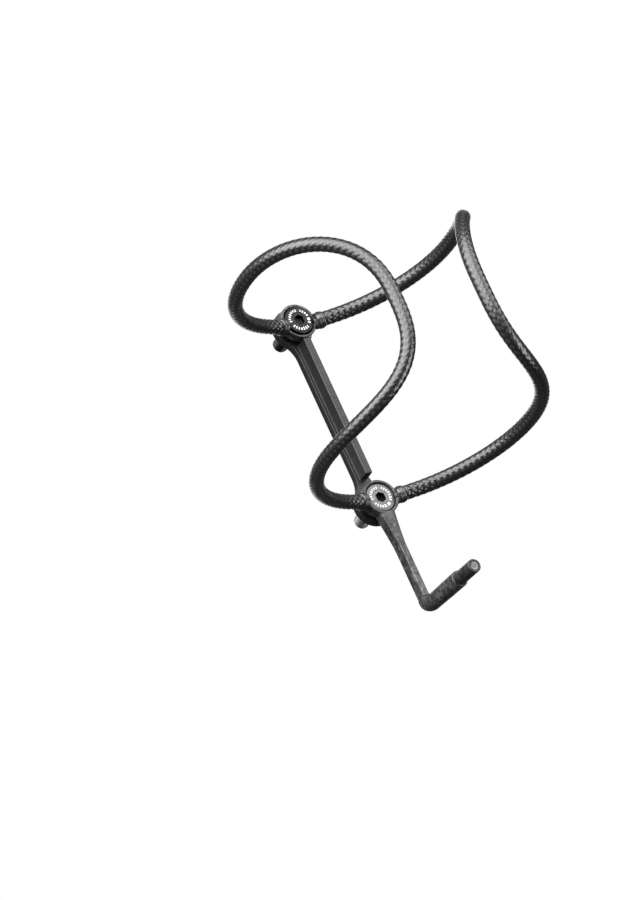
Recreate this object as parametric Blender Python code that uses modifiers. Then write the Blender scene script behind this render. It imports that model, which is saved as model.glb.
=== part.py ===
"""Water bottle cage: two braided carbon loops and a tail foot on a bolted rail.

Lengths are metres, +Z is up along the bottle.  The origin is the centre of the
rail's mounting face, half way between the two bolts.  -Y points out of that
face towards the bottle, and +X is right as seen from the bottle's side.
Heights above the mounting face are called "out" and become -Y.
"""

import math

import bmesh
import bpy
import numpy as np
from mathutils import Matrix, Vector

MM = 0.001

# Clearance left between touching pieces, and radial play of the bolts.
GAP = 0.3 * MM
BOLT_PLAY = 0.3 * MM

# Bolts: two M5 screws with low disc heads.
BOLT_SPACING = 64.0 * MM
SHANK_D = 4.8 * MM
SHANK_LENGTH = 14.0 * MM
SHANK_TIP_CHAMFER = 0.5 * MM
HEAD_D = 9.4 * MM
HEAD_HEIGHT = {"upper": 2.4 * MM, "lower": 2.0 * MM}
HEAD_CHAMFER = 0.4 * MM
SOCKET_ACROSS_FLATS = 3.0 * MM
SOCKET_DEPTH = 1.5 * MM
WASHER_THICKNESS = 0.4 * MM

# Hubs: moulded rings with a recess for the bolt head, measured up from the rail.
HUB_HEIGHT = {"upper": 4.4 * MM, "lower": 5.0 * MM}
RING_WALL = 0.9 * MM
BARREL_STEP = 1.0 * MM
RING_FLARE_START = 0.6 * MM
RECESS_FLOOR_HEIGHT = 1.6 * MM

# Base rail: a flat bar with a round pad under each hub and a rib on top.
BASE_THICKNESS = 2.5 * MM
BAR_WIDTH = 4.6 * MM
PAD_LIP = 0.5 * MM
PAD_FILLET = 9.0 * MM
RIB_WIDTH = 2.5 * MM
RIB_HEIGHT = 4.6 * MM
RIB_STOP = 8.8 * MM
RIB_BEVEL = 0.25 * MM

# Loops: carbon tube wound on the cylinder of the bottle.  Its straight runs
# pass a little below the bolts, and bend away just clear of the hub rings.
TUBE_D = 4.7 * MM
TUBE_WALL = 0.75 * MM
LOOP_RADIUS = 37.24 * MM
LOOP_ABOVE_RAIL = 4.36 * MM
RUN_BELOW_BOLT = {"upper": 1.3 * MM, "lower": 0.5 * MM}
LOOP_TIP = -1.1 * MM
BEND_CLEAR_OF_RING = 5.6 * MM
LOOP_TIP_ANGLE = math.radians(157.0)
UPPER_BEND_ANGLE = math.radians(90.0)
LOWER_BEND_ANGLE = math.radians(83.6)
UPPER_EXPONENT = 2.42
LOWER_EXPONENT = 2.95
FRONT_BULGE = 1.9 * MM
BULGE_RISE = 0.7 * MM
BULGE_POWER = 4
ROOT_RUN = 3.2 * MM
LOOP_POINTS = 56
LOOP_SAMPLES = 801

# Joints between the tubes and the hubs: a spigot in the bore, a collar outside.
SPIGOT_PLAY = 0.4 * MM
SPIGOT_LENGTH = 2.8 * MM
COLLAR_BULGE = 0.45 * MM
COLLAR_LENGTH = 2.1 * MM
EAR_LIP = 0.15 * MM
EAR_REACH = 3.0 * MM
EAR_EXPONENT = 2.2

# Tail: a tapered arm, an elbow and a round foot that carries the bottle's base.
ARM_ROOT_WIDTH = 7.1 * MM
ARM_WIDTH = 2.4 * MM
ARM_DEPTH = 4.4 * MM
ARM_TAPER_LENGTH = 17.0 * MM
ARM_TAPER_POWER = 1.2
ARM_EXPONENT = 5.0
ARM_STATIONS = (0.08, 0.14, 0.2, 0.26, 0.32, 0.38, 0.5, 0.65, 0.8, 1.0)
ELBOW_DROP = 38.1 * MM
ELBOW_RADIUS = 3.7 * MM
ELBOW_STEPS = 8
FOOT_DROOP = math.radians(6.4)
FOOT_NECK_D = 5.0 * MM
FOOT_D = 5.4 * MM
FOOT_LENGTH = 22.0 * MM
FOOT_EXPONENT = 2.2
FOOT_STATIONS = (0.0, 0.15, 0.4, 0.7, 0.95, 1.0)
FOOT_FULL_AT = 0.7
PIN_D = 4.4 * MM
PIN_LENGTH = 9.4 * MM
PIN_SPIGOT_D = 3.0 * MM
PIN_SPIGOT_LENGTH = 9.0 * MM
PIN_EDGE = 0.3 * MM
PLUG_D = 2.4 * MM
PLUG_LENGTH = 1.6 * MM

SIDES = {"left": -1.0, "right": 1.0}
LEVELS = {"upper": BOLT_SPACING / 2, "lower": -BOLT_SPACING / 2}
HOLE_D = SHANK_D + 2 * BOLT_PLAY
RECESS_D = HEAD_D + 2 * GAP
RING_D = RECESS_D + 2 * RING_WALL
BARREL_D = RING_D - 2 * BARREL_STEP
PAD_D = RING_D + 2 * PAD_LIP
RIB_TOP = BASE_THICKNESS + RIB_HEIGHT
HUB_BOTTOM = BASE_THICKNESS + GAP
HUB_TOP = {level: BASE_THICKNESS + HUB_HEIGHT[level] for level in LEVELS}
RECESS_FLOOR = BASE_THICKNESS + RECESS_FLOOR_HEIGHT
WASHER_BOTTOM = RECESS_FLOOR + GAP
HEAD_BOTTOM = WASHER_BOTTOM + WASHER_THICKNESS + GAP
RUN_HEIGHT = {level: LEVELS[level] - RUN_BELOW_BOLT[level] for level in LEVELS}
LOOP_AXIS_OUT = BASE_THICKNESS + LOOP_ABOVE_RAIL + LOOP_RADIUS
LOOP_START_ANGLE = math.asin((RING_D / 2 + BEND_CLEAR_OF_RING) / LOOP_RADIUS)
BORE_D = TUBE_D - 2 * TUBE_WALL
SPIGOT_D = BORE_D - 2 * SPIGOT_PLAY
COLLAR_D = TUBE_D + 2 * COLLAR_BULGE
EAR_D = TUBE_D + 2 * EAR_LIP

# Cutters run on past the face they open, and round shapes share one fineness.
CUT_PAST = 1.0 * MM
WELD = 0.01 * MM
TURN_STEPS = 32
SHARP_ANGLE = math.radians(35.0)

# Turns a shape built round +Z so that its +Z points out, along -Y.
OUTWARDS = Matrix.Rotation(math.pi / 2, 4, "X")

FINISHES = {
    "rail_plastic": ((0.018, 0.018, 0.020), 0.45, 0.0),
    "forged_carbon": ((0.035, 0.035, 0.037), 0.38, 0.0),
    "braided_carbon": ((0.030, 0.030, 0.032), 0.25, 0.0),
    "binding_resin": ((0.060, 0.060, 0.062), 0.30, 0.0),
    "black_alloy": ((0.020, 0.020, 0.023), 0.35, 0.9),
    "silver_alloy": ((0.560, 0.560, 0.580), 0.30, 1.0),
    "washer_steel": ((0.400, 0.400, 0.410), 0.35, 1.0),
    "pin_carbon": ((0.045, 0.045, 0.047), 0.50, 0.0),
}


def clear_scene():
    for old in list(bpy.data.objects):
        bpy.data.objects.remove(old, do_unlink=True)


def new_collection(name):
    made = bpy.data.collections.new(name)
    bpy.context.scene.collection.children.link(made)
    return made


def new_material(name):
    colour, roughness, metallic = FINISHES[name]
    made = bpy.data.materials.new(name)
    made.use_nodes = True
    shader = made.node_tree.nodes["Principled BSDF"]
    shader.inputs["Base Color"].default_value = (*colour, 1.0)
    shader.inputs["Roughness"].default_value = roughness
    shader.inputs["Metallic"].default_value = metallic
    return made


def add_object(name, mesh, matrix, finish=None):
    """Links a mesh as a part with a finish, or as a hidden cutter without one."""
    made = bpy.data.objects.new(name, mesh)
    made.matrix_world = matrix
    if finish:
        parts.objects.link(made)
        mesh.materials.append(materials[finish])
        mesh.shade_smooth()
        mesh.set_sharp_from_angle(angle=SHARP_ANGLE)
    else:
        cutters.objects.link(made)
        made.hide_render = True
        made.display_type = "WIRE"
    return made


def turned(name, profile, matrix, finish=None, closed=False, steps=TURN_STEPS):
    """Turns (radius, height) points about local +Z with a Screw modifier."""
    mesh = bpy.data.meshes.new(name)
    points = [(radius, 0.0, height) for radius, height in profile]
    edges = [(i, i + 1) for i in range(len(points) - 1)]
    if closed:
        edges.append((len(points) - 1, 0))
    mesh.from_pydata(points, edges, [])
    made = add_object(name, mesh, matrix, finish)
    screw = made.modifiers.new("Turn", "SCREW")
    screw.steps = steps
    screw.render_steps = steps
    screw.use_merge_vertices = True
    screw.merge_threshold = WELD
    screw.use_normal_calculate = False
    return made


def cylinder(name, diameter, low, high, matrix, sides=TURN_STEPS):
    """A cutter or helper cylinder along local +Z, from low to high."""
    mesh = bpy.data.meshes.new(name)
    shape = bmesh.new()
    bmesh.ops.create_cone(
        shape,
        cap_ends=True,
        segments=sides,
        radius1=diameter / 2,
        radius2=diameter / 2,
        depth=high - low,
        matrix=Matrix.Translation((0, 0, (low + high) / 2)),
    )
    shape.to_mesh(mesh)
    shape.free()
    return add_object(name, mesh, matrix)


def loft(name, sections, corners=24):
    """Joins superellipse sections (centre, across, up, half widths, exponent)."""
    turn = np.linspace(0, 2 * math.pi, corners, endpoint=False) + math.pi / corners
    rings = []
    for centre, across, up, half_across, half_up, exponent in sections:
        power = 2 / exponent
        u = half_across * np.sign(np.cos(turn)) * np.abs(np.cos(turn)) ** power
        v = half_up * np.sign(np.sin(turn)) * np.abs(np.sin(turn)) ** power
        rings.append(np.array(centre) + np.outer(u, across) + np.outer(v, up))
    mesh = bpy.data.meshes.new(name)
    shape = bmesh.new()
    loops = [[shape.verts.new(point) for point in ring] for ring in rings]
    for near, far in zip(loops, loops[1:]):
        for i in range(corners):
            j = (i + 1) % corners
            shape.faces.new((near[i], near[j], far[j], far[i]))
    shape.faces.new(loops[0])
    shape.faces.new(loops[-1])
    bmesh.ops.recalc_face_normals(shape, faces=shape.faces)
    shape.to_mesh(mesh)
    shape.free()
    return add_object(name, mesh, Matrix.Identity(4))


def boolean(target, operation, *others):
    for other in others:
        step = target.modifiers.new(other.name, "BOOLEAN")
        step.operation = operation
        step.solver = "EXACT"
        step.object = other


def axis_matrix(origin, direction):
    """Places a shape built round +Z so that its +Z runs along direction."""
    turn = Vector(direction).to_track_quat("Z", "Y").to_matrix().to_4x4()
    return Matrix.Translation(origin) @ turn


def bolt_matrix(level):
    return Matrix.Translation((0, 0, LEVELS[level])) @ OUTWARDS


def mesh_of(curve):
    """The closed mesh a curve makes, with its caps welded on."""
    guide = bpy.data.objects.new(curve.name, curve)
    bpy.context.scene.collection.objects.link(guide)
    graph = bpy.context.evaluated_depsgraph_get()
    mesh = bpy.data.meshes.new_from_object(guide.evaluated_get(graph))
    bpy.data.objects.remove(guide, do_unlink=True)
    shape = bmesh.new()
    shape.from_mesh(mesh)
    bmesh.ops.remove_doubles(shape, verts=shape.verts, dist=WELD)
    bmesh.ops.recalc_face_normals(shape, faces=shape.faces)
    shape.to_mesh(mesh)
    shape.free()
    return mesh


def new_spline(name, dimensions, points):
    """A curve holding one straight-sided spline through the points."""
    curve = bpy.data.curves.new(name, "CURVE")
    curve.dimensions = dimensions
    spline = curve.splines.new("POLY")
    spline.points.add(len(points) - 1)
    for control, point in zip(spline.points, points):
        control.co = (*point, 1.0)
    return curve, spline


def round_bar(name, points, diameter, resolution):
    """A closed round bar along points, as a mesh."""
    curve, _ = new_spline(name, "3D", points)
    curve.bevel_depth = diameter / 2
    curve.bevel_resolution = resolution
    curve.use_fill_caps = True
    return mesh_of(curve)


def pad_outline():
    """The rail's flat outline: two round pads joined to the bar by fillets."""
    pad = PAD_D / 2
    half_bar = BAR_WIDTH / 2
    reach = pad + PAD_FILLET
    fillet_x = half_bar + PAD_FILLET
    fillet_drop = math.sqrt(reach**2 - fillet_x**2)
    meet = math.atan2(-fillet_drop, fillet_x)
    pad_arc = np.linspace(math.pi / 2, meet, 14)
    fillet_arc = np.linspace(meet + math.pi, math.pi, 6)[1:]
    top = BOLT_SPACING / 2
    quarter = [(pad * math.cos(a), top + pad * math.sin(a)) for a in pad_arc]
    for a in fillet_arc:
        x = fillet_x + PAD_FILLET * math.cos(a)
        z = top - fillet_drop + PAD_FILLET * math.sin(a)
        quarter.append((x, z))
    right = quarter + [(x, -z) for x, z in reversed(quarter)]
    left = [(-x, z) for x, z in reversed(right[1:-1])]
    return right + left


def make_base_rail():
    middle = BASE_THICKNESS / 2
    outline = [(x, z, middle) for x, z in pad_outline()]
    curve, spline = new_spline("rail_outline", "2D", outline)
    spline.use_cyclic_u = True
    curve.fill_mode = "BOTH"
    curve.extrude = middle
    mesh = mesh_of(curve)
    rail = add_object("base_rail", mesh, OUTWARDS, "rail_plastic")
    boolean(rail, "UNION", make_rib())
    for level in LEVELS:
        hole = cylinder(
            f"{level}_pad_hole", HOLE_D, -CUT_PAST, RIB_TOP, bolt_matrix(level)
        )
        boolean(rail, "DIFFERENCE", hole)
    return rail


def make_rib():
    """The rib stands on the bar from the upper hub to a square end."""
    top = LEVELS["upper"] - RING_D / 2 - GAP
    bottom = LEVELS["lower"] + RIB_STOP
    foot = BASE_THICKNESS / 2
    mesh = bpy.data.meshes.new("rib")
    shape = bmesh.new()
    bmesh.ops.create_cube(shape, size=1.0)
    bmesh.ops.scale(shape, vec=(RIB_WIDTH, top - bottom, RIB_TOP - foot), verts=shape.verts)
    bmesh.ops.translate(
        shape, vec=(0, (top + bottom) / 2, (RIB_TOP + foot) / 2), verts=shape.verts
    )
    half_way = (RIB_TOP + foot) / 2
    upper_edges = [
        edge for edge in shape.edges if min(vert.co.z for vert in edge.verts) > half_way
    ]
    bmesh.ops.bevel(shape, geom=upper_edges, offset=RIB_BEVEL, segments=1, affect="EDGES")
    shape.to_mesh(mesh)
    shape.free()
    return add_object("rib", mesh, OUTWARDS)


def loop_run(level):
    """Where a right-hand tube leaves the hub: its end, direction and height."""
    x = LOOP_RADIUS * math.sin(LOOP_START_ANGLE)
    out = LOOP_AXIS_OUT - LOOP_RADIUS * math.cos(LOOP_START_ANGLE)
    along = Vector((math.cos(LOOP_START_ANGLE), -math.sin(LOOP_START_ANGLE), 0.0))
    bend = Vector((x, -out, RUN_HEIGHT[level]))
    return bend - ROOT_RUN * along, along


def mirrored(vector, side):
    return Vector((SIDES[side] * vector[0], vector[1], vector[2]))


def root_matrix(level, side):
    end, along = loop_run(level)
    return axis_matrix(mirrored(end, side), mirrored(along, side))


def loop_centreline():
    """Runs and a superellipse end drawn on the cylinder, at even spacing.

    The end bulges past the cylinder at the front, more so above than below.
    """
    turn = np.linspace(math.pi / 2, -math.pi / 2, LOOP_SAMPLES)
    upper = turn > 0
    power = 2 / np.where(upper, UPPER_EXPONENT, LOWER_EXPONENT)
    bend = np.where(upper, UPPER_BEND_ANGLE, LOWER_BEND_ANGLE)
    top, bottom = RUN_HEIGHT["upper"], RUN_HEIGHT["lower"]
    rise = np.where(upper, top, bottom) - LOOP_TIP
    angle = bend + (LOOP_TIP_ANGLE - bend) * np.abs(np.cos(turn)) ** power
    height = LOOP_TIP + rise * np.abs(np.sin(turn)) ** power
    bulge = (FRONT_BULGE + BULGE_RISE * np.sin(turn)) * np.cos(turn) ** BULGE_POWER
    angle = np.concatenate([[LOOP_START_ANGLE], angle, [LOOP_START_ANGLE]])
    height = np.concatenate([[top], height, [bottom]])
    radius = LOOP_RADIUS + np.concatenate([[0.0], bulge, [0.0]])
    step = np.hypot(LOOP_RADIUS * np.diff(angle), np.diff(height))
    travelled = np.concatenate([[0.0], np.cumsum(step)])
    even = np.linspace(0.0, travelled[-1], LOOP_POINTS)
    angle = np.interp(even, travelled, angle)
    height = np.interp(even, travelled, height)
    radius = np.interp(even, travelled, radius)
    x = radius * np.sin(angle)
    y = radius * np.cos(angle) - LOOP_AXIS_OUT
    upper_end = loop_run("upper")[0]
    lower_end = loop_run("lower")[0]
    return [upper_end, *(Vector(point) for point in zip(x, y, height)), lower_end]


def flex_point():
    """A point on the vertical line about which the right loop springs open."""
    end, along = loop_run("upper")
    point = end + along * SPIGOT_LENGTH / 2
    return Vector((point.x, point.y, 0.0))


def make_loop(side):
    centre = mirrored(flex_point(), side)
    points = [mirrored(point, side) - centre for point in loop_centreline()]
    ends = ((points[0], points[1]), (points[-1], points[-2]))
    first, last = (end + (end - near).normalized() * CUT_PAST for end, near in ends)
    place = Matrix.Translation(centre)
    bar = round_bar("loop", points, TUBE_D, 3)
    tube = add_object(f"{side}_loop", bar, place, "braided_carbon")
    core = round_bar("bore", [first, *points, last], BORE_D, 2)
    boolean(tube, "DIFFERENCE", add_object(f"{side}_bore", core, place))
    return tube


def make_ear(level, side):
    """The hub's shoulder: from the ring's wall to the tube's direction."""
    end, along = loop_run(level)
    face = end - along * (COLLAR_LENGTH + 2 * GAP)
    up = Vector((0, 0, 1))
    inner = Vector((EAR_REACH, -(RECESS_FLOOR + HUB_TOP[level]) / 2, LEVELS[level]))
    inner.z += (face.z - inner.z) / 2
    middle = (inner + face) / 2
    sideways = Vector((1, 0, 0))
    lean = (sideways + along).normalized()
    end_radius = EAR_D / 2
    start_radius = TUBE_D / 2
    sections = []
    for centre, axis, half in (
        (inner, sideways, start_radius),
        (middle, lean, (start_radius + end_radius) / 2),
        (face, along, end_radius),
    ):
        across = mirrored(axis.cross(up), side)
        sections.append((mirrored(centre, side), across, up, half, half, EAR_EXPONENT))
    ear = loft(f"{level}_{side}_ear", sections)
    spigot = cylinder(
        f"{level}_{side}_spigot",
        SPIGOT_D,
        -(COLLAR_LENGTH + 2 * GAP) - CUT_PAST,
        SPIGOT_LENGTH,
        root_matrix(level, side),
        sides=12,
    )
    return ear, spigot


def hub_ring(level):
    name = {"upper": "upper_hub", "lower": "lower_hub_arm"}[level]
    ring = RING_D / 2
    barrel = BARREL_D / 2
    hole = HOLE_D / 2
    top = HUB_TOP[level]
    profile = [
        (hole, top),
        (ring, top),
        (ring, RECESS_FLOOR),
        (barrel, BASE_THICKNESS + RING_FLARE_START),
        (barrel, HUB_BOTTOM),
        (hole, HUB_BOTTOM),
    ]
    return turned(name, profile, bolt_matrix(level), "forged_carbon", closed=True)


def cut_hub(hub, level):
    """Clears the head's recess and the bolt's hole through ring and shoulders."""
    clear_top = HUB_TOP[level] + TUBE_D
    place = bolt_matrix(level)
    recess = cylinder(f"{level}_recess", RECESS_D, RECESS_FLOOR, clear_top, place)
    hole = cylinder(f"{level}_hub_hole", HOLE_D, 0.0, clear_top, place)
    boolean(hub, "DIFFERENCE", recess, hole)


def make_upper_hub():
    hub = hub_ring("upper")
    for side in SIDES:
        boolean(hub, "UNION", *make_ear("upper", side))
    cut_hub(hub, "upper")
    return hub


def foot_frame():
    """The elbow's corner point, and the directions of the arm and the foot."""
    arm_start = Vector((0, ARM_DEPTH / 2 - HUB_TOP["lower"], LEVELS["lower"]))
    arm = Vector((0, 0, -1))
    corner = arm_start + arm * ELBOW_DROP
    foot = Vector((0, -math.cos(FOOT_DROOP), -math.sin(FOOT_DROOP)))
    return arm_start, corner, arm, foot


def arm_sections():
    """Sections along the tapered arm, round the elbow and out along the foot."""
    start, corner, arm, foot = foot_frame()
    sideways = Vector((1, 0, 0))
    turn = arm.angle(foot)
    tangent = ELBOW_RADIUS * math.tan(turn / 2)
    bend_start = corner - arm * tangent
    centre = bend_start + (foot - arm * arm.dot(foot)).normalized() * ELBOW_RADIUS
    length = (bend_start - start).length
    sections = []
    for station in ARM_STATIONS:
        travel = station * length
        taper = max(0.0, 1 - travel / ARM_TAPER_LENGTH) ** ARM_TAPER_POWER
        width = ARM_WIDTH + (ARM_ROOT_WIDTH - ARM_WIDTH) * taper
        sections.append((start + arm * travel, arm, width, ARM_DEPTH, ARM_EXPONENT))
    from_centre = bend_start - centre
    axis = arm.cross(foot).normalized()
    for step in range(1, ELBOW_STEPS):
        share = step / ELBOW_STEPS
        spin = Matrix.Rotation(turn * share, 3, axis)
        width = ARM_WIDTH + (FOOT_NECK_D - ARM_WIDTH) * share
        depth = ARM_DEPTH + (FOOT_NECK_D - ARM_DEPTH) * share
        exponent = ARM_EXPONENT + (FOOT_EXPONENT - ARM_EXPONENT) * share
        point = centre + spin @ from_centre
        sections.append((point, spin @ arm, width, depth, exponent))
    straight = FOOT_LENGTH - tangent
    for station in FOOT_STATIONS:
        full = min(1.0, station / FOOT_FULL_AT)
        size = FOOT_NECK_D + (FOOT_D - FOOT_NECK_D) * full
        if station == 1.0:
            size -= PIN_EDGE
        point = corner + foot * (tangent + straight * station)
        sections.append((point, foot, size, size, FOOT_EXPONENT))
    return [
        (point, sideways, sideways.cross(along), width / 2, depth / 2, exponent)
        for point, along, width, depth, exponent in sections
    ]


def make_lower_hub_arm():
    hub = hub_ring("lower")
    for side in SIDES:
        boolean(hub, "UNION", *make_ear("lower", side))
    boolean(hub, "UNION", loft("arm", arm_sections()))
    cut_hub(hub, "lower")
    corner, foot = foot_frame()[1::2]
    socket_depth = PIN_SPIGOT_LENGTH + GAP
    socket = cylinder(
        "foot_socket",
        PIN_SPIGOT_D + 2 * GAP,
        FOOT_LENGTH - socket_depth,
        FOOT_LENGTH + CUT_PAST,
        axis_matrix(corner, foot),
        sides=24,
    )
    boolean(hub, "DIFFERENCE", socket)
    return hub


def make_foot_pin():
    """A stepped pin: its thin end sits in the foot, its rim holds the plug."""
    corner, foot = foot_frame()[1::2]
    pin = PIN_D / 2
    spigot = PIN_SPIGOT_D / 2
    well = PLUG_D / 2 + GAP
    shoulder = FOOT_LENGTH + GAP
    tip = shoulder + PIN_LENGTH
    profile = [
        (0.0, tip - PLUG_LENGTH - GAP),
        (well, tip - PLUG_LENGTH - GAP),
        (well, tip),
        (pin - PIN_EDGE, tip),
        (pin, tip - PIN_EDGE),
        (pin, shoulder),
        (spigot, shoulder),
        (spigot, FOOT_LENGTH - PIN_SPIGOT_LENGTH),
        (0.0, FOOT_LENGTH - PIN_SPIGOT_LENGTH),
    ]
    return turned("foot_pin", profile, axis_matrix(corner, foot), "pin_carbon", steps=24)


def make_foot_plug():
    corner, foot = foot_frame()[1::2]
    tip = FOOT_LENGTH + GAP + PIN_LENGTH
    plug = PLUG_D / 2
    profile = [(0.0, tip), (plug, tip), (plug, tip - PLUG_LENGTH), (0.0, tip - PLUG_LENGTH)]
    return turned("foot_plug", profile, axis_matrix(corner, foot), "binding_resin", steps=16)


def make_collar(level, side):
    """A bulged ring bound round the spigot, between shoulder and tube."""
    inner = SPIGOT_D / 2 + GAP
    outer = COLLAR_D / 2
    high = -GAP
    low = high - COLLAR_LENGTH
    shoulder = COLLAR_LENGTH / 4
    profile = [
        (inner, high),
        (TUBE_D / 2, high),
        (outer, high - shoulder),
        (outer, low + shoulder),
        (TUBE_D / 2, low),
        (inner, low),
    ]
    name = f"{level}_{side}_collar"
    place = root_matrix(level, side)
    return turned(name, profile, place, "binding_resin", closed=True, steps=16)


def make_washer(level):
    inner = HOLE_D / 2
    outer = HEAD_D / 2
    top = WASHER_BOTTOM + WASHER_THICKNESS
    profile = [(inner, top), (outer, top), (outer, WASHER_BOTTOM), (inner, WASHER_BOTTOM)]
    name = f"{level}_washer"
    return turned(name, profile, bolt_matrix(level), "washer_steel", closed=True)


def make_bolt(level):
    head = HEAD_D / 2
    shank = SHANK_D / 2
    top = HEAD_BOTTOM + HEAD_HEIGHT[level]
    tip = HEAD_BOTTOM - SHANK_LENGTH
    profile = [
        (0.0, top),
        (head - HEAD_CHAMFER, top),
        (head, top - HEAD_CHAMFER),
        (head, HEAD_BOTTOM),
        (shank, HEAD_BOTTOM),
        (shank, tip + SHANK_TIP_CHAMFER),
        (shank - SHANK_TIP_CHAMFER, tip),
        (0.0, tip),
    ]
    finish = {"upper": "black_alloy", "lower": "silver_alloy"}[level]
    place = bolt_matrix(level)
    bolt = turned(f"{level}_bolt", profile, place, finish)
    corners = SOCKET_ACROSS_FLATS / math.cos(math.pi / 6)
    key = cylinder(
        f"{level}_key", corners, top - SOCKET_DEPTH, top + CUT_PAST, place, sides=6
    )
    boolean(bolt, "DIFFERENCE", key)
    return bolt


clear_scene()
parts = new_collection("water_bottle_cage")
cutters = new_collection("cage_cutters")
cutters.hide_render = True
materials = {name: new_material(name) for name in FINISHES}

make_base_rail()
make_upper_hub()
make_lower_hub_arm()
make_foot_pin()
make_foot_plug()
for cage_side in SIDES:
    make_loop(cage_side)
    for hub_level in LEVELS:
        make_collar(hub_level, cage_side)
for hub_level in LEVELS:
    make_washer(hub_level)
    make_bolt(hub_level)
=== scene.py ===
"""Looks of a bottle cage: braided tube loops, moulded hubs, a ribbed rail and its bolts.

Lengths are metres in the part's own frame: +Z up along the bottle, -Y out towards it.
"Out" is a height above the rail's mounting face, and a side is -1 left and 1 right.
"""

import math

import bmesh
import bpy
import numpy as np
from mathutils import Matrix, Vector


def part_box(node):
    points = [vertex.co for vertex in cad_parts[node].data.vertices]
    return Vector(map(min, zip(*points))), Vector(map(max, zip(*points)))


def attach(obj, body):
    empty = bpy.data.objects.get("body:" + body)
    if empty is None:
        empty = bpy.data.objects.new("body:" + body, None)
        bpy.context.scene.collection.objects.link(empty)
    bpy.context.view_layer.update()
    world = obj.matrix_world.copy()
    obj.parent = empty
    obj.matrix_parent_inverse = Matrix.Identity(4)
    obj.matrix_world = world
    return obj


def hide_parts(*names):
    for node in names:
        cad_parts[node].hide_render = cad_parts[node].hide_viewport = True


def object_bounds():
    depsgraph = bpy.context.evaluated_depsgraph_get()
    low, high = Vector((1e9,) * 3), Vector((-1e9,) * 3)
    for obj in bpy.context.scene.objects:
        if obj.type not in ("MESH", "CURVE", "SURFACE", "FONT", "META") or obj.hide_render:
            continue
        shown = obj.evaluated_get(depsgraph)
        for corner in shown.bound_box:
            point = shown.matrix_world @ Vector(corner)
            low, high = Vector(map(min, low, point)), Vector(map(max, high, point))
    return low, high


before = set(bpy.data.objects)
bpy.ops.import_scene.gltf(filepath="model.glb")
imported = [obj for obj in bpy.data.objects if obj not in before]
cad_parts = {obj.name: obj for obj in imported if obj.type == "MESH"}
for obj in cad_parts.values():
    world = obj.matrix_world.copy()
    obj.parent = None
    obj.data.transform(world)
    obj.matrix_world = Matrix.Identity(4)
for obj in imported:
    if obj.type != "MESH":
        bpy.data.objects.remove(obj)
cad_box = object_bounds()
MM = 0.001

# ---------------------------------------------------------------- the rail
# A black moulded bar lies on the bicycle's tube, with a round pad under each hub and a
# rib along its top. It is injection moulded, so its edges are soft and its skin is fine.


def wire(tree, kind, inputs=None, **settings):
    """Adds one shader node; an input is either a value or another node's output."""
    made = tree.nodes.new(kind)
    for key, value in settings.items():
        setattr(made, key, value)
    for key, value in (inputs or {}).items():
        if isinstance(value, bpy.types.NodeSocket):
            tree.links.new(value, made.inputs[key])
        else:
            made.inputs[key].default_value = value
    return made.outputs


def sums(tree, operation, *values):
    """One Math node's result."""
    return wire(tree, "ShaderNodeMath", dict(enumerate(values)), operation=operation)[0]


def product(tree, *factors):
    """Several numbers multiplied: all of the masks that they stand for."""
    result = factors[0]
    for factor in factors[1:]:
        result = sums(tree, "MULTIPLY", result, factor)
    return result


def distance(tree, first, second):
    """The root of the sum of two squares."""
    squares = sums(tree, "ADD", product(tree, first, first), product(tree, second, second))
    return sums(tree, "SQRT", squares)


def mixed(tree, share, dark, light):
    """A colour between two others, each a (red, green, blue) or a node's output."""
    ends = [
        end if isinstance(end, bpy.types.NodeSocket) else (*end, 1.0) for end in (dark, light)
    ]
    inputs = {0: share, 6: ends[0], 7: ends[1]}
    return wire(tree, "ShaderNodeMix", inputs, data_type="RGBA")[2]


def new_group(name, inputs, outputs):
    """An empty shader group, with its inputs' defaults (None is a vector), and outputs."""
    tree = bpy.data.node_groups.new(name, "ShaderNodeTree")
    for label, default in inputs.items():
        kind = "NodeSocketVector" if default is None else "NodeSocketFloat"
        socket = tree.interface.new_socket(label, in_out="INPUT", socket_type=kind)
        if default is not None:
            socket.default_value = default
    for label in outputs:
        tree.interface.new_socket(label, in_out="OUTPUT", socket_type="NodeSocketFloat")
    given = tree.nodes.new("NodeGroupInput").outputs
    return tree, given, tree.nodes.new("NodeGroupOutput").inputs


def use_group(tree, group, **inputs):
    """Places a shader group in a material, and returns its outputs."""
    return wire(tree, "ShaderNodeGroup", inputs, node_tree=group)


def new_finish(name, metallic=0.0, coat=0.0, coat_roughness=0.1, specular=0.5):
    """A material, its nodes, its Principled shader's inputs and the place on the piece."""
    made = bpy.data.materials.new(name)
    made.use_nodes = True
    tree = made.node_tree
    shader = tree.nodes["Principled BSDF"].inputs
    shader["Metallic"].default_value = metallic
    shader["Coat Weight"].default_value = coat
    shader["Coat Roughness"].default_value = coat_roughness
    shader["Specular IOR Level"].default_value = specular
    return made, tree, shader, wire(tree, "ShaderNodeTexCoord")["Object"]


def dress(tree, shader, colour, roughness, height=None, strength=0.0, depth=0.0):
    """Leads colour, roughness and a bump of the height, at most depth deep, to a shader."""
    tree.links.new(colour, shader["Base Color"])
    tree.links.new(roughness, shader["Roughness"])
    if height is not None:
        inputs = {"Height": height, "Strength": strength, "Distance": depth}
        tree.links.new(wire(tree, "ShaderNodeBump", inputs)[0], shader["Normal"])


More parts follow.
